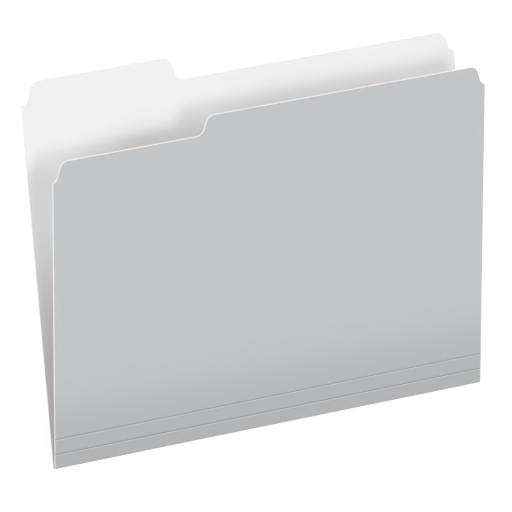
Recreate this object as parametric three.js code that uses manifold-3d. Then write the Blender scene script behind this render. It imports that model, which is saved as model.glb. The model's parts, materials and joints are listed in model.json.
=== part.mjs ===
// Letter-size file folder, third cut, lying on its back leaf and slightly ajar. Millimetres, +Z up.
// One die-cut sheet of card, grey outside and white inside, folded once along +X at the bottom.
// The origin is under the middle of the folder, on the surface it lies on.
import * as THREE from "three";
import { mergeVertices } from "three/addons/utils/BufferGeometryUtils.js";
import Module from "manifold-3d";

const wasm = await Module();
wasm.setup();

// Card stock and bottom fold
const STOCK = 0.45; // thickness of the card
const FOLD_INNER_R = 0.45; // inside radius of the bottom fold
const OPEN_ANGLE = THREE.MathUtils.degToRad(10.4); // how far the folder stands ajar
const FOLD_CLEARANCE = 0.1; // what a turning leaf's end keeps from the outside of the fold
const CREASE_GAP = 0.05; // slit between two stretches of the sheet that turn against each other

// Sheet size. Heights run up a leaf from the folded edge, and insets run in from its side edges
const WIDTH = 298.45; // along the fold, 11 3/4 in
const HEIGHT = 241.3; // folded edge to the top of the tab, 9 1/2 in
const BODY_HEIGHT = 226.3; // top edge of the back leaf beside the tab
const TAB_LENGTH = 97.4; // left side edge to the right end of the tab's straight top
const FRONT_HEIGHT = 213.5; // top edge of the front leaf
const UNDERCUT_HEIGHT = 201.2; // top edge of the front leaf below the tab
const UNDERCUT_LENGTH = 97.6; // left side edge to the right end of the undercut's straight edge

// Scores for expansion, pressed into the outside of the front
const SCORE_PITCH = 10; // folded edge to the first score, and first to second
const SCORE_COUNT = 2;
const SCORE_DEPTH = 0.2;
const SCORE_HALF_WIDTH = 0.35;

// The die's ogee: a concave foot, a steep straight and a convex head
const OGEE_FOOT_R = 5.2;
const OGEE_HEAD_R = 6.2;
const OGEE_SLANT = THREE.MathUtils.degToRad(74);
const ARC_STEPS = 9; // straight steps in each arc of an ogee
const TAB_EAR_RISE = 13.5; // shoulder to tab top at the left end of the tab
const TAB_EAR_INSET = 12.9; // left side edge to the left end of the tab's straight top
const UNDERCUT_EAR_RISE = 13.8; // shoulder to undercut edge at the left of the front leaf
const UNDERCUT_EAR_INSET = 10.7; // left side edge to the left end of the undercut's straight edge
const FRONT_EAR_RISE = 12.9; // shoulder to top edge at the right of the front leaf
const FRONT_EAR_INSET = 10.9; // right side edge to the right end of the front's straight top
const BACK_EAR_RISE = 13.1; // shoulder to top edge at the right of the back leaf
const BACK_EAR_INSET = 11.3; // right side edge to the right end of the back's straight top
const FOLD_STEPS = 8; // straight steps in each half of the bottom fold

const TOOL_MARGIN = 1; // how far a cutting block reaches past the card it cuts

const foldOuterR = FOLD_INNER_R + STOCK;
const foldReach = foldOuterR + FOLD_CLEARANCE; // the bent strip's legs, up each leaf from the fold's axis
const left = -WIDTH / 2;
const right = WIDTH / 2;

// A height above the folded edge, as a distance up the leaf from the fold's axis.
const up = (height) => height - foldOuterR;

const printed = new THREE.MeshStandardMaterial({ color: 0xc4c5c7, roughness: 0.72, metalness: 0 });
const inside = new THREE.MeshStandardMaterial({ color: 0xf4f4f2, roughness: 0.88, metalness: 0 });

// An arc of a circle as points, both ends included.
function arc(cx, cy, r, from, to, steps) {
  return Array.from({ length: steps + 1 }, (_, i) => {
    const angle = from + ((to - from) * i) / steps;
    return new THREE.Vector2(cx + r * Math.cos(angle), cy + r * Math.sin(angle));
  });
}

// How far an ogee runs sideways while it falls by rise.
function ogeeRun(rise) {
  const bends = (OGEE_FOOT_R + OGEE_HEAD_R) * (1 - Math.cos(OGEE_SLANT));
  const straight = (rise - bends) / Math.sin(OGEE_SLANT);
  return (OGEE_FOOT_R + OGEE_HEAD_R) * Math.sin(OGEE_SLANT) + straight * Math.cos(OGEE_SLANT);
}

// The ogee from its head, the end of a straight top edge at (x, y), down to its foot, towards side
// (-1 left, 1 right). edge is the side edge that may cut its foot short.
function ogee(x, y, rise, side, edge = side * Infinity) {
  const footX = x + side * ogeeRun(rise);
  const footY = y - rise + OGEE_FOOT_R;
  const cut = Math.max(0, side * (footX - edge));
  const footEnd = Math.asin(Math.min(1, cut / OGEE_FOOT_R));
  const down = -Math.PI / 2;
  const head = arc(0, -OGEE_HEAD_R, OGEE_HEAD_R, -down, -down - OGEE_SLANT, ARC_STEPS);
  const foot = arc(0, 0, OGEE_FOOT_R, down - OGEE_SLANT, down - footEnd, ARC_STEPS);
  return [
    ...head.map((p) => new THREE.Vector2(x + side * p.x, y + p.y)),
    ...foot.map((p) => new THREE.Vector2(footX + side * p.x, footY + p.y)),
  ];
}

// An outline in the leaf's own plane, thickened by the card from height z.
function leaf(points, z) {
  const shape = new THREE.Shape(points);
  return new THREE.ExtrudeGeometry(shape, { depth: STOCK, bevelEnabled: false }).translate(0, 0, z);
}

// A profile in the plane across the fold, (up the leaf, off the leaf), run from side to side.
function strip(points, margin = 0) {
  const across = new THREE.Matrix4().makeBasis(
    new THREE.Vector3(0, 1, 0),
    new THREE.Vector3(0, 0, 1),
    new THREE.Vector3(1, 0, 0),
  );
  const depth = WIDTH + 2 * margin;
  return new THREE.ExtrudeGeometry(new THREE.Shape(points), { depth, bevelEnabled: false })
    .applyMatrix4(across)
    .translate(left - margin, 0, 0);
}

function toSolid(geometry) {
  const bare = geometry.clone();
  bare.deleteAttribute("normal");
  bare.deleteAttribute("uv");
  const merged = mergeVertices(bare, 1e-4);
  const mesh = new wasm.Mesh({
    numProp: 3,
    vertProperties: merged.attributes.position.array,
    triVerts: new Uint32Array(merged.index.array),
  });
  return new wasm.Manifold(mesh);
}

function toGeometry(solid) {
  const mesh = solid.getMesh();
  const geometry = new THREE.BufferGeometry();
  geometry.setAttribute("position", new THREE.BufferAttribute(mesh.vertProperties, 3));
  geometry.setIndex(new THREE.BufferAttribute(mesh.triVerts, 1));
  return geometry;
}

// A named mesh whose faces that isPrinted says yes to, by centre and normal, are grey, and the rest white.
function piece(name, geometry, isPrinted) {
  const flat = geometry.index ? geometry.toNonIndexed() : geometry;
  const from = flat.attributes.position.array;
  const sides = [[], []];
  const triangle = new THREE.Triangle();
  const middle = new THREE.Vector3();
  const normal = new THREE.Vector3();
  for (let i = 0; i < from.length; i += 9) {
    triangle.a.fromArray(from, i);
    triangle.b.fromArray(from, i + 3);
    triangle.c.fromArray(from, i + 6);
    triangle.getMidpoint(middle);
    triangle.getNormal(normal);
    sides[isPrinted(middle, normal) ? 0 : 1].push(...from.subarray(i, i + 9));
  }
  const sorted = new THREE.BufferGeometry();
  sorted.setAttribute("position", new THREE.Float32BufferAttribute(sides.flat(), 3));
  sorted.computeVertexNormals();
  sorted.addGroup(0, sides[0].length / 3, 0);
  sorted.addGroup(sides[0].length / 3, sides[1].length / 3, 1);
  const mesh = new THREE.Mesh(sorted, [printed, inside]);
  mesh.name = name;
  return mesh;
}

// Back leaf: flat on its printed side, with the tab at the left
const backOutline = [
  new THREE.Vector2(left, foldReach),
  new THREE.Vector2(right, foldReach),
  ...ogee(right - BACK_EAR_INSET, up(BODY_HEIGHT), BACK_EAR_RISE, 1, right).reverse(),
  ...ogee(left + TAB_LENGTH, up(HEIGHT), HEIGHT - BODY_HEIGHT, 1).reverse(),
  ...ogee(left + TAB_EAR_INSET, up(HEIGHT), TAB_EAR_RISE, -1, left),
  new THREE.Vector2(left, up(HEIGHT) - TAB_EAR_RISE),
];
const backLeaf = piece("back_leaf", leaf(backOutline, -foldOuterR), (p, n) => n.z < -0.5);

// Bottom fold: the strip bent round the fold's axis, with a short leg up each leaf
const legEnd = foldReach - CREASE_GAP;
const alongFront = new THREE.Vector2(Math.cos(OPEN_ANGLE), Math.sin(OPEN_ANGLE));
const offFront = new THREE.Vector2(-Math.sin(OPEN_ANGLE), Math.cos(OPEN_ANGLE));

// The end of the front leg, off the fold's axis by r.
const frontLeg = (r) => alongFront.clone().multiplyScalar(legEnd).addScaledVector(offFront, r);

// The bend at radius r, from below the axis to above it, passing the point furthest out.
const bend = (r) => [
  ...arc(0, 0, r, -Math.PI / 2, -Math.PI, FOLD_STEPS),
  ...arc(0, 0, r, -Math.PI, OPEN_ANGLE - (3 * Math.PI) / 2, FOLD_STEPS).slice(1),
];
const foldProfile = [
  new THREE.Vector2(legEnd, -foldOuterR),
  ...bend(foldOuterR),
  frontLeg(foldOuterR),
  frontLeg(FOLD_INNER_R),
  ...bend(FOLD_INNER_R).reverse(),
  new THREE.Vector2(legEnd, -FOLD_INNER_R),
];
const facesAway = (p, n) => p.y * n.y + p.z * n.z > 0; // away from the fold's axis
const bottomFold = piece("bottom_fold", strip(foldProfile), facesAway);

// Front: one blank, scored on its printed side, then parted at the scores
const stepRise = FRONT_HEIGHT - UNDERCUT_HEIGHT;
const frontOutline = [
  new THREE.Vector2(left, foldReach),
  new THREE.Vector2(right, foldReach),
  ...ogee(right - FRONT_EAR_INSET, up(FRONT_HEIGHT), FRONT_EAR_RISE, 1, right).reverse(),
  ...ogee(left + UNDERCUT_LENGTH + ogeeRun(stepRise), up(FRONT_HEIGHT), stepRise, -1),
  ...ogee(left + UNDERCUT_EAR_INSET, up(UNDERCUT_HEIGHT), UNDERCUT_EAR_RISE, -1, left),
];
const scores = Array.from({ length: SCORE_COUNT }, (_, i) => up(SCORE_PITCH * (i + 1)));
let frontBlank = toSolid(leaf(frontOutline, FOLD_INNER_R));
for (const score of scores) {
  const groove = [
    new THREE.Vector2(score, foldOuterR - SCORE_DEPTH),
    new THREE.Vector2(score + SCORE_HALF_WIDTH, foldOuterR),
    new THREE.Vector2(score + SCORE_HALF_WIDTH, foldOuterR + TOOL_MARGIN),
    new THREE.Vector2(score - SCORE_HALF_WIDTH, foldOuterR + TOOL_MARGIN),
    new THREE.Vector2(score - SCORE_HALF_WIDTH, foldOuterR),
  ];
  frontBlank = frontBlank.subtract(toSolid(strip(groove, TOOL_MARGIN)));
}

// The stretch of the front blank between two heights up the leaf.
function stretch(name, low, high) {
  const block = [
    new THREE.Vector2(low, -TOOL_MARGIN),
    new THREE.Vector2(high, -TOOL_MARGIN),
    new THREE.Vector2(high, foldOuterR + TOOL_MARGIN),
    new THREE.Vector2(low, foldOuterR + TOOL_MARGIN),
  ];
  const part = frontBlank.intersect(toSolid(strip(block, TOOL_MARGIN)));
  return piece(name, toGeometry(part), (p, n) => n.z > 0.5);
}

const half = CREASE_GAP / 2;
const lowerPanel = stretch("lower_gusset_panel", 0, scores[0] - half);
const upperPanel = stretch("upper_gusset_panel", scores[0] + half, scores[1] - half);
const frontLeaf = stretch("front_leaf", scores[1] + half, up(HEIGHT));

// The fold's axis runs along X, one bend radius above the surface. The front turns about it
const front = new THREE.Group();
front.rotation.x = OPEN_ANGLE;
front.add(lowerPanel, upperPanel, frontLeaf);

const folder = new THREE.Group();
folder.position.set(0, foldOuterR - HEIGHT / 2, foldOuterR);
folder.add(backLeaf, bottomFold, front);

const group = new THREE.Group();
group.add(folder);

export default group;
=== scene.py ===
import json
import math

import bmesh
import bpy
from mathutils import Matrix, Vector


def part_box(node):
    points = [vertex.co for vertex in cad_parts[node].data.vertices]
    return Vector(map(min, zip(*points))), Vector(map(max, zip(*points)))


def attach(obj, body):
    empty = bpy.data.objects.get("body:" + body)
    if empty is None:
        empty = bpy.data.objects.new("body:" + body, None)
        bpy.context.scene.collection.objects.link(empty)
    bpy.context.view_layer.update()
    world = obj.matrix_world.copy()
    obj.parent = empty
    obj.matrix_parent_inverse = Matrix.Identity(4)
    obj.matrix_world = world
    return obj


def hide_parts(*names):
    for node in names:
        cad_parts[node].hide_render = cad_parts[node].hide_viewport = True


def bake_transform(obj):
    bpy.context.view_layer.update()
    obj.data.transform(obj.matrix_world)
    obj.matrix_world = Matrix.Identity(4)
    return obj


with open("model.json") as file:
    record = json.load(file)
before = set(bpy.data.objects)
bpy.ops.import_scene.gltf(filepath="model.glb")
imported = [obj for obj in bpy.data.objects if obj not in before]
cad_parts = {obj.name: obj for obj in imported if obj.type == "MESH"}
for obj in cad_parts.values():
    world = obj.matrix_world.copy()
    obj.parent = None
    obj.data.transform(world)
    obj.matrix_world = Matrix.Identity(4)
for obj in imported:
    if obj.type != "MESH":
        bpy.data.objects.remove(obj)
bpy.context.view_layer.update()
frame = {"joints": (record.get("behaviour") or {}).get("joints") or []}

# Camera: a long lens, a little to the left of the folder and above it, on the axes of the front leaf.
# It is aimed at a point of the front's printed face, given along the fold and up the leaf.
MM = 0.001
STOCK = 0.45 * MM  # thickness of the card
INNER_RADIUS = 0.45 * MM  # of the bottom fold
OUTER_RADIUS = INNER_RADIUS + STOCK
LENS = 526.7  # mm, on the default sensor
VIEW_DEPTH = 100  # metres
CAMERA_DISTANCE = 4.6
CAMERA_TURN = math.radians(-27.73)  # round the leaf's own upright, towards its left edge
CAMERA_RISE = math.radians(22.025)
CAMERA_ROLL = math.radians(0.18)
AIM_ALONG = -10.5 * MM
AIM_HEIGHT = 115.35 * MM  # above the folded edge

scene = bpy.context.scene
scene.view_settings.view_transform = "Standard"

fold_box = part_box("bottom_fold")
opening = next(joint for joint in frame["joints"] if joint["name"] == "opening")
OPEN_ANGLE = -math.radians(opening["range_deg"][0])  # the closed folder is at the lower limit
fold_axis = Vector((0, fold_box[0].y + OUTER_RADIUS, fold_box[0].z + OUTER_RADIUS))
up_front = Vector((0, math.cos(OPEN_ANGLE), math.sin(OPEN_ANGLE)))
off_front = Vector((0, -math.sin(OPEN_ANGLE), math.cos(OPEN_ANGLE)))

sideways = Vector((math.sin(CAMERA_TURN), 0, 0)) + math.cos(CAMERA_TURN) * off_front
to_camera = math.cos(CAMERA_RISE) * sideways + math.sin(CAMERA_RISE) * up_front
camera_right = up_front.cross(to_camera).normalized()
camera_up = to_camera.cross(camera_right)
facing = Matrix((camera_right, camera_up, to_camera)).transposed()
turned = facing @ Matrix.Rotation(CAMERA_ROLL, 3, "Z")
aim = fold_axis + (AIM_HEIGHT - OUTER_RADIUS) * up_front + OUTER_RADIUS * off_front
aim.x = AIM_ALONG
camera = bpy.data.objects.new("camera", bpy.data.cameras.new("camera"))
camera.data.lens = LENS
camera.data.clip_end = VIEW_DEPTH
camera.matrix_world = Matrix.Translation(aim + CAMERA_DISTANCE * to_camera) @ turned.to_4x4()
scene.collection.objects.link(camera)
scene.camera = camera

# Desk: a wide white surface that the folder lies on, lit like the folder but shown as the white
# background. Of what the camera sees of it only a share is real light, which keeps the folder's shadow.
DESK_HALF = 8.0
DESK_TILES = 8
DESK_DROP = 0.05 * MM  # below the card, so that the two don't touch
DESK_WHITE = 0.8
DESK_SHADOWED = 0.22
DESK_GLOW = 0.86


def node_adder(tree):
    """A function that adds a node to the tree. Its inputs are numbers, colours or sockets to link."""

    def add(kind, inputs=None, **settings):
        node = tree.nodes.new(kind)
        for key, value in settings.items():
            setattr(node, key, value)
        for key, value in (inputs or {}).items():
            if isinstance(value, bpy.types.NodeSocket):
                tree.links.new(value, node.inputs[key])
            else:
                node.inputs[key].default_value = value
        return node

    return add


def shader(name):
    """A new material with an empty node tree, and the function that adds a node to it."""
    material = bpy.data.materials.new(name)
    material.use_nodes = True
    material.node_tree.nodes.clear()
    return material, node_adder(material.node_tree)


def seen_by_camera(add):
    """1 on rays that show the background, straight or through gloss or glass, and 0 on those that light."""
    ray = add("ShaderNodeLightPath")
    seen = ray.outputs["Is Camera Ray"]
    for kind in ("Is Glossy Ray", "Is Transmission Ray"):
        seen = add("ShaderNodeMath", {0: seen, 1: ray.outputs[kind]}, operation="MAXIMUM").outputs[0]
    return seen


def add_object(name, bm, materials):
    """A mesh object at the origin, made from a bmesh, which is freed."""
    mesh = bpy.data.meshes.new(name)
    bm.to_mesh(mesh)
    bm.free()
    for material in materials:
        mesh.materials.append(material)
    obj = bpy.data.objects.new(name, mesh)
    scene.collection.objects.link(obj)
    return obj


desk_material, add = shader("desk_white")
lit = add("ShaderNodeBsdfDiffuse", {"Color": (DESK_WHITE, DESK_WHITE, DESK_WHITE, 1)})
shadowed = add("ShaderNodeBsdfDiffuse", {"Color": (DESK_SHADOWED, DESK_SHADOWED, DESK_SHADOWED, 1)})
glow = add("ShaderNodeEmission", {"Strength": DESK_GLOW})
shown = add("ShaderNodeAddShader", {0: shadowed.outputs[0], 1: glow.outputs[0]})
desk_mix = add("ShaderNodeMixShader", {0: seen_by_camera(add), 1: lit.outputs[0], 2: shown.outputs[0]})
add("ShaderNodeOutputMaterial", {"Surface": desk_mix.outputs[0]})

desk_mesh = bmesh.new()
bmesh.ops.create_grid(desk_mesh, x_segments=DESK_TILES, y_segments=DESK_TILES, size=DESK_HALF)
bmesh.ops.translate(desk_mesh, verts=desk_mesh.verts, vec=(0, 0, -DESK_DROP))
add_object("desk", desk_mesh, [desk_material])

# Studio: a white tent and far lamps, low from behind on the right, from the right, which darkens the white
# inside beside the front's step, from the left, weakly from the front, and very low from the left for the
# cut edges. A box with a grid hangs above, and its light fades out towards the folded edge.
TENT_LIGHT = (0.320, 0.297, 0.287, 1)  # a little warm
BACKGROUND = (1, 1, 1, 1)
LAMP_COLOUR = (0.938, 1.0, 1.035)  # a little cool
GRID_BOX_WIDTH = 1.6
GRID_BOX_LENGTH = 1.4
GRID_BOX_EDGE = -87 * MM  # y of its edge on the fold's side
GRID_BOX_RISE = 0.28  # above the desk
GRID_BOX_SPREAD = math.radians(18)
GRID_BOX_POWER = 1.23

world = bpy.data.worlds.new("tent")
scene.world = world
world.use_nodes = True
add = node_adder(world.node_tree)
# Sockets 6 and 7 of a colour mix are its first and second colour
tent = add("ShaderNodeMix", {0: seen_by_camera(add), 6: TENT_LIGHT, 7: BACKGROUND}, data_type="RGBA")
world.node_tree.links.new(tent.outputs[2], world.node_tree.nodes["Background"].inputs["Color"])


def sun(name, turn, rise, strength, spread):
    """A far soft light that shines from turn round the desk (0 from -Y, 90 from +X) and rise above it."""
    turn, rise = math.radians(turn), math.radians(rise)
    data = bpy.data.lights.new(name, "SUN")
    data.energy = strength
    data.angle = math.radians(spread)
    data.color = LAMP_COLOUR
    lamp = bpy.data.objects.new(name, data)
    towards = Vector((math.sin(turn) * math.cos(rise), -math.cos(turn) * math.cos(rise), math.sin(rise)))
    lamp.rotation_euler = towards.to_track_quat("Z", "Y").to_euler()
    scene.collection.objects.link(lamp)


sun("back_lamp", turn=152, rise=20, strength=1.52, spread=22)
sun("right_lamp", turn=105, rise=40, strength=0.72, spread=20)
sun("left_lamp", turn=270, rise=45, strength=0.7, spread=35)
sun("front_lamp", turn=0, rise=60, strength=0.16, spread=35)
sun("edge_lamp", turn=265, rise=6, strength=0.45, spread=15)

box_light = bpy.data.lights.new("grid_box", "AREA")
box_light.shape = "RECTANGLE"
box_light.size = GRID_BOX_WIDTH
box_light.size_y = GRID_BOX_LENGTH
box_light.spread = GRID_BOX_SPREAD
box_light.energy = GRID_BOX_POWER
box_light.color = LAMP_COLOUR
grid_box = bpy.data.objects.new("grid_box", box_light)
grid_box.location = (0, GRID_BOX_EDGE + GRID_BOX_LENGTH / 2, GRID_BOX_RISE)
grid_box.visible_camera = False
scene.collection.objects.link(grid_box)

# Back leaf: the rear half of one die-cut sheet of card, printed grey outside and white inside, with the
# tab at its left. The die rounds each corner as an ogee and crushes the cut edge, where the print ends.
WIDTH = fold_box[1].x - fold_box[0].x
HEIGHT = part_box("back_leaf")[1].y - fold_box[0].y  # folded edge to the top of the tab
LEFT, RIGHT = -WIDTH / 2, WIDTH / 2
BODY_HEIGHT = 226.3 * MM  # top edge beside the tab
TAB_LENGTH = 97.4 * MM  # left side edge to the right end of the tab's straight top
OGEE_FOOT_RADIUS = 5.2 * MM
OGEE_HEAD_RADIUS = 6.2 * MM
OGEE_SLANT = math.radians(74)
ARC_STEPS = 14
TAB_EAR_RISE, TAB_EAR_INSET = 13.5 * MM, 12.9 * MM
BACK_EAR_RISE, BACK_EAR_INSET = 13.1 * MM, 11.3 * MM
LEAF_START = 1.9 * MM  # height where the flat leaf begins, above the bent strip
GRID = 9 * MM  # squares of the mesh on a leaf

neutral_radius = INNER_RADIUS + STOCK / 2
back_quarter = math.pi / 2 * neutral_radius  # middle of the bend to the flat back leaf
front_quarter = (math.pi / 2 - OPEN_ANGLE) * neutral_radius


def folded(x, run, off):
    """A point of the flat sheet, folded: x along the fold, run up the front from the middle of the bend
    (down it is the back), and off the white inner face towards the print."""
    radius = INNER_RADIUS + off
    if run < -back_quarter:
        offset = Vector((0, -run - back_quarter, -radius))
    elif run > front_quarter:
        offset = (run - front_quarter) * up_front + radius * off_front
    else:
        angle = math.pi - run / neutral_radius
        offset = radius * Vector((0, math.cos(angle), math.sin(angle)))
    return fold_axis + offset + Vector((x, 0, 0))


def back_run(height):
    """A height above the folded edge, as a run down the back leaf."""
    return -(height - OUTER_RADIUS + back_quarter)


def front_run(height):
    """A height above the folded edge, as a run up the front leaf."""
    return height - OUTER_RADIUS + front_quarter


def arc(x, y, radius, start, end):
    """Points along an arc round (x, y), from one angle to another."""
    angles = [start + (end - start) * i / ARC_STEPS for i in range(ARC_STEPS + 1)]
    return [(x + radius * math.cos(a), y + radius * math.sin(a)) for a in angles]


def ogee_run(rise):
    """How far an ogee runs sideways while it falls by rise."""
    radii = OGEE_FOOT_RADIUS + OGEE_HEAD_RADIUS
    straight = (rise - radii * (1 - math.cos(OGEE_SLANT))) / math.sin(OGEE_SLANT)
    return radii * math.sin(OGEE_SLANT) + straight * math.cos(OGEE_SLANT)


def ogee(x, y, rise, side, edge=math.inf):
    """The ogee from its head at (x, y), the end of a straight top edge, down to its foot, towards side
    (-1 left, 1 right). edge is how far from the middle the side edge cuts the foot short."""
    foot_x = x + side * ogee_run(rise)
    foot_y = y - rise + OGEE_FOOT_RADIUS
    cut = max(0, side * foot_x - edge)
    foot_end = math.asin(min(1, cut / OGEE_FOOT_RADIUS))
    down = -math.pi / 2
    head = arc(0, -OGEE_HEAD_RADIUS, OGEE_HEAD_RADIUS, -down, -down - OGEE_SLANT)
    foot = arc(0, 0, OGEE_FOOT_RADIUS, down - OGEE_SLANT, down - foot_end)
    head_points = [(x + side * px, y + py) for px, py in head]
    foot_points = [(foot_x + side * px, foot_y + py) for px, py in foot]
    return head_points + foot_points


STRAIGHT_ON = 1e-3  # two edges that turn by less than this count as one line


def inset(outline, by, joined):
    """The outline moved inwards by a distance, apart from its joined edges, where the sheet runs on."""
    count = len(outline)
    normals = []
    for i in range(count):
        along = Vector(outline[(i + 1) % count]) - Vector(outline[i])
        normals.append(Vector((-along.y, along.x)).normalized())
    moved = []
    for i in range(count):
        before, after = normals[i - 1], normals[i]
        by_before = 0 if (i - 1) % count in joined else by
        by_after = 0 if i in joined else by
        turn = before.x * after.y - before.y * after.x
        if abs(turn) < STRAIGHT_ON:
            shift = by_after * after
        else:
            shift_x = by_before * after.y - by_after * before.y
            shift_y = by_after * before.x - by_before * after.x
            shift = Vector((shift_x, shift_y)) / turn
        moved.append(Vector(outline[i]) + shift)
    return moved


CLOUD_SCALE = 90  # per metre, of the soft mottling
FIBRE_SCALE = 2400
FIBRE_HEIGHT = 0.03 * MM
FIBRE_LOW, FIBRE_HIGH = 0.25, 0.75  # part of the fibre noise that gives specks
ROUGHNESS_SPREAD = 0.06
CARD_SPECULAR = 0.3
PAINTED_SHADE_STRENGTH = 0.36  # how much darker the print is made at the bottom of a score groove: painted shade of the groove, with the pressed card's own darkening


def paper(name, colour, roughness, mottle, fibre_bump):
    """Matt card: a colour with soft mottling, and fibres that catch the light. Its grain lies in the flat
    sheet, so that it runs on across the folds."""
    material, add = shader(name)
    where = add("ShaderNodeAttribute", attribute_name="sheet").outputs["Vector"]
    painted_shade_mask = add("ShaderNodeAttribute", attribute_name="painted_shade_mask").outputs["Fac"]
    cloud_noise = {"Vector": where, "Scale": CLOUD_SCALE, "Detail": 4, "Roughness": 0.6}
    cloud = add("ShaderNodeTexNoise", cloud_noise).outputs[0]
    fibre_noise = {"Vector": where, "Scale": FIBRE_SCALE, "Detail": 5, "Roughness": 0.7}
    fibre = add("ShaderNodeTexNoise", fibre_noise).outputs[0]

    light = [min(1, c * (1 + mottle)) for c in colour] + [1]
    dark = [c * (1 - mottle) for c in colour] + [1]
    tone = add("ShaderNodeMix", {0: cloud, 6: dark, 7: light}, data_type="RGBA").outputs[2]
    speck_range = {"From Min": FIBRE_LOW, "From Max": FIBRE_HIGH, "To Min": 1 - mottle, "To Max": 1 + mottle}
    speck = add("ShaderNodeMapRange", {"Value": fibre, **speck_range}).outputs[0]
    # Painted shade: the print is darkened at the bottom of each score groove
    painted_shade = add("ShaderNodeMapRange", {"Value": painted_shade_mask, "To Min": 1, "To Max": 1 - PAINTED_SHADE_STRENGTH}).outputs[0]
    shade = add("ShaderNodeVectorMath", {0: tone, 1: speck}, operation="MULTIPLY").outputs[0]
    shade = add("ShaderNodeVectorMath", {0: shade, 1: painted_shade}, operation="MULTIPLY").outputs[0]

    rough_range = {"To Min": roughness - ROUGHNESS_SPREAD, "To Max": roughness + ROUGHNESS_SPREAD}
    rough = add("ShaderNodeMapRange", {"Value": cloud, **rough_range}).outputs[0]
    bump = add("ShaderNodeBump", {"Height": fibre, "Strength": fibre_bump, "Distance": FIBRE_HEIGHT})
    finish = {"Base Color": shade, "Roughness": rough, "Normal": bump.outputs[0]}
    surface = add("ShaderNodeBsdfPrincipled", {**finish, "Specular IOR Level": CARD_SPECULAR})
    add("ShaderNodeOutputMaterial", {"Surface": surface.outputs[0]})
    return material


card_finish = [
    paper("grey_print", (0.592, 0.592, 0.600), roughness=0.62, mottle=0.012, fibre_bump=0.25),
    paper("white_inside", (0.873, 0.853, 0.845), roughness=0.8, mottle=0.008, fibre_bump=0.35),
    paper("cut_core", (0.96, 0.955, 0.945), roughness=0.9, mottle=0.02, fibre_bump=0.6),
]
PRINT, INSIDE, EDGE = 0, 1, 2  # their places in the list

# How the cut edge runs from the white face to the print, as (inwards, off the inner face)
CUT_PROFILE = [
    (0.08 * MM, 0),
    (0.02 * MM, 0.03 * MM),
    (0, 0.09 * MM),
    (0, 0.33 * MM),
    (0.015 * MM, 0.39 * MM),
    (0.05 * MM, 0.43 * MM),
    (0.39 * MM, STOCK),
]
PRINT_SHIFT = 0.24 * MM  # the print lies this much further right than the die's cut
SHARP_ANGLE = math.radians(28)
SPLIT_TOLERANCE = 1e-7


def card(name, outline, joined, columns, rows, shape=None):
    """A closed piece of the sheet, cut along the outline of (x, run), split at columns of x and rows of run,
    shaped in the flat and folded. joined lists the edges where the sheet runs on into the next piece."""
    bm = bmesh.new()
    sheet = bm.verts.layers.float_vector.new("sheet")
    # The mask of the painted shade in the score grooves, which shape gives
    painted_shade_mask = bm.verts.layers.float.new("painted_shade_mask")
    rings = []
    for inwards, off in CUT_PROFILE:
        shift = PRINT_SHIFT if off == STOCK else 0
        rings.append([bm.verts.new((p.x + shift, p.y, off)) for p in inset(outline, inwards, joined)])
    count = len(outline)
    white = bm.faces.new(rings[0])
    white.material_index = INSIDE
    grey = bm.faces.new(rings[-1])
    grey.material_index = PRINT
    for low, high in zip(rings, rings[1:]):
        for i in range(count):
            j = (i + 1) % count
            side = bm.faces.new((low[i], low[j], high[j], high[i]))
            side.material_index = EDGE
    for axis, places in ((Vector((1, 0, 0)), columns), (Vector((0, 1, 0)), rows)):
        for place in places:
            everything = bm.verts[:] + bm.edges[:] + bm.faces[:]
            at = axis * place
            bmesh.ops.bisect_plane(bm, geom=everything, dist=SPLIT_TOLERANCE, plane_co=at, plane_no=axis)
    for vertex in bm.verts:
        vertex[sheet] = vertex.co
        x, run, off = vertex.co
        if shape:
            lift, vertex[painted_shade_mask] = shape(run, off)
            off += lift
        vertex.co = folded(x, run, off)
    bmesh.ops.recalc_face_normals(bm, faces=bm.faces)
    for face in bm.faces:
        face.smooth = True
    for edge in bm.edges:
        one, other = edge.link_faces
        edge.smooth = edge.calc_face_angle() < SHARP_ANGLE and one.material_index == other.material_index
    return add_object(name, bm, card_finish)


def steps(start, end, pitch):
    """Evenly spaced places between start and end, without the ends, about a pitch apart."""
    count = max(1, round(abs(end - start) / pitch))
    return [start + (end - start) * i / count for i in range(1, count)]


def finish_piece(piece, node):
    """The piece takes the place of a plain solid, in the same card."""
    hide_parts(node)
    return piece


back_outline = [(LEFT, LEAF_START), (RIGHT, LEAF_START)]
back_outline += ogee(RIGHT - BACK_EAR_INSET, BODY_HEIGHT, BACK_EAR_RISE, 1, RIGHT)[::-1]
back_outline += ogee(LEFT + TAB_LENGTH, HEIGHT, HEIGHT - BODY_HEIGHT, 1)[::-1]
back_outline += ogee(LEFT + TAB_EAR_INSET, HEIGHT, TAB_EAR_RISE, -1, -LEFT)
# The tab's ear is a little wider than its ogee, so a short shoulder runs on to the side edge
back_outline.append((LEFT, HEIGHT - TAB_EAR_RISE))
# The run down the back falls as the height grows, so the outline is turned round, to keep its inside on
# the left. Its edge at the fold is then the last but one.
back_outline = [(x, back_run(height)) for x, height in back_outline][::-1]
joined = [len(back_outline) - 2]
columns = steps(LEFT, RIGHT, GRID)
back_rows = steps(back_run(LEAF_START), back_run(HEIGHT), GRID)
back_leaf = card("back_leaf_card", back_outline, joined, columns, back_rows)
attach(finish_piece(back_leaf, "back_leaf"), "back_leaf")

# Bottom fold: the narrow strip of the same sheet that bends round under both leaves, in two halves. On the
# folder the lower half bends as it opens, and the upper half as the gusset squares up.
BEND_STEPS = 16


def strip(start, end):
    """The outline of a stretch of the sheet from side to side, and its joined edges."""
    return [(LEFT, start), (RIGHT, start), (RIGHT, end), (LEFT, end)], [0, 2]


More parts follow.
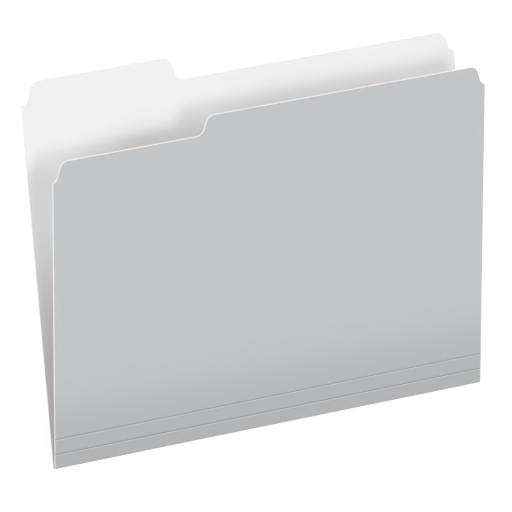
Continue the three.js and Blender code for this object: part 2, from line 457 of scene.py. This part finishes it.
lower_outline, joined = strip(back_run(LEAF_START), 0)
lower_rows = [-back_quarter * i / BEND_STEPS for i in range(1, BEND_STEPS + 1)]
fold_lower = card("bottom_fold_card", lower_outline, joined, columns, lower_rows)
finish_piece(fold_lower, "bottom_fold")

upper_outline, joined = strip(0, front_run(LEAF_START))
upper_rows = [front_quarter * i / BEND_STEPS for i in range(1, BEND_STEPS + 1)]
fold_upper = card("fold_root_card", upper_outline, joined, columns, upper_rows)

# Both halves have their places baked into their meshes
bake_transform(fold_lower)
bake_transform(fold_upper)

# Lower gusset panel: the strip of the front between the fold and the first score line, a groove that is
# pressed into the print so that the sheet can turn a second corner when the folder is full.
SCORE_PITCH = 10 * MM
# The groove across the score, from above it to below: how far below the score, and how high off the sheet
SCORE_PROFILE = [(-0.1 * MM, 0), (0.5 * MM, -0.16 * MM), (1.3 * MM, 0.055 * MM), (2.1 * MM, 0)]
SCORE_ROW = 0.1 * MM
INNER_SHARE = 0.5  # of the groove, that shows on the white face
PAINTED_SHADE_MIDDLE = 0.19 * MM  # middle of the painted shade, below the score
PAINTED_SHADE_HALF_WIDTH = 0.4 * MM
SCORE_MARGIN = 0.6 * MM  # where the next piece starts, above a score
scores = [front_run(SCORE_PITCH), front_run(2 * SCORE_PITCH)]


def smooth_step(t):
    """From 0 to 1 as t does, with a soft start and end."""
    t = min(1, max(0, t))
    return t * t * (3 - 2 * t)


def pressed(run, off):
    """How far a point of the flat sheet is raised beside a score line or pressed in, and how much painted
    shade darkens it at the bottom of the groove.
    """
    lift = 0
    painted_shade = 0
    for score in scores:
        below = score - run
        for (start, low), (end, high) in zip(SCORE_PROFILE, SCORE_PROFILE[1:]):
            if start <= below < end:
                lift += low + (high - low) * smooth_step((below - start) / (end - start))
        # painted shade, darkest at the bottom of the groove
        painted_shade += smooth_step(1 - abs(below - PAINTED_SHADE_MIDDLE) / PAINTED_SHADE_HALF_WIDTH)
    through = off / STOCK
    return lift * (INNER_SHARE + (1 - INNER_SHARE) * through), painted_shade * through


def score_rows(score):
    """Rows of the mesh across a score, close enough together for its groove."""
    top, bottom = SCORE_PROFILE[0][0], SCORE_PROFILE[-1][0]
    count = round((bottom - top) / SCORE_ROW)
    return [score - top - (bottom - top) * i / count for i in range(count + 1)]


def score_blend(piece):
    """Bakes the piece's place into its mesh."""
    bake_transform(piece)


lower_top = scores[0] + SCORE_MARGIN
lower_outline, joined = strip(front_run(LEAF_START), lower_top)
lower_panel = card("lower_gusset_card", lower_outline, joined, columns, score_rows(scores[0]), pressed)
finish_piece(lower_panel, "lower_gusset_panel")
score_blend(lower_panel)

# Upper gusset panel: the strip of the front between the two score lines, of the same card. The second
# score is pressed along its top, and the front leaf turns there.
upper_top = scores[1] + SCORE_MARGIN
upper_outline, joined = strip(lower_top, upper_top)
upper_panel = card("upper_gusset_card", upper_outline, joined, columns, score_rows(scores[1]), pressed)
finish_piece(upper_panel, "upper_gusset_panel")
score_blend(upper_panel)

# Front leaf: the front half of the sheet, of the same card, which runs on from the gusset at the second
# score. Its left third is cut lower, so that the tab behind shows, and steps up in an ogee to the full
# height.
FRONT_HEIGHT = 213.5 * MM
UNDERCUT_HEIGHT = 201.2 * MM
UNDERCUT_LENGTH = 97.6 * MM
UNDERCUT_EAR_RISE, UNDERCUT_EAR_INSET = 13.8 * MM, 10.7 * MM
FRONT_EAR_RISE, FRONT_EAR_INSET = 12.9 * MM, 10.9 * MM

step_rise = FRONT_HEIGHT - UNDERCUT_HEIGHT
front_start = upper_top - front_run(0)  # as a height above the folded edge
front_outline = [(LEFT, front_start), (RIGHT, front_start)]
front_outline += ogee(RIGHT - FRONT_EAR_INSET, FRONT_HEIGHT, FRONT_EAR_RISE, 1, RIGHT)[::-1]
front_outline += ogee(LEFT + UNDERCUT_LENGTH + ogee_run(step_rise), FRONT_HEIGHT, step_rise, -1)
front_outline += ogee(LEFT + UNDERCUT_EAR_INSET, UNDERCUT_HEIGHT, UNDERCUT_EAR_RISE, -1, -LEFT)
front_outline = [(x, front_run(height)) for x, height in front_outline]
front_rows = steps(upper_top, front_run(FRONT_HEIGHT), GRID)
front_leaf = card("front_leaf_card", front_outline, [0], columns, front_rows)
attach(finish_piece(front_leaf, "front_leaf"), "front_leaf")
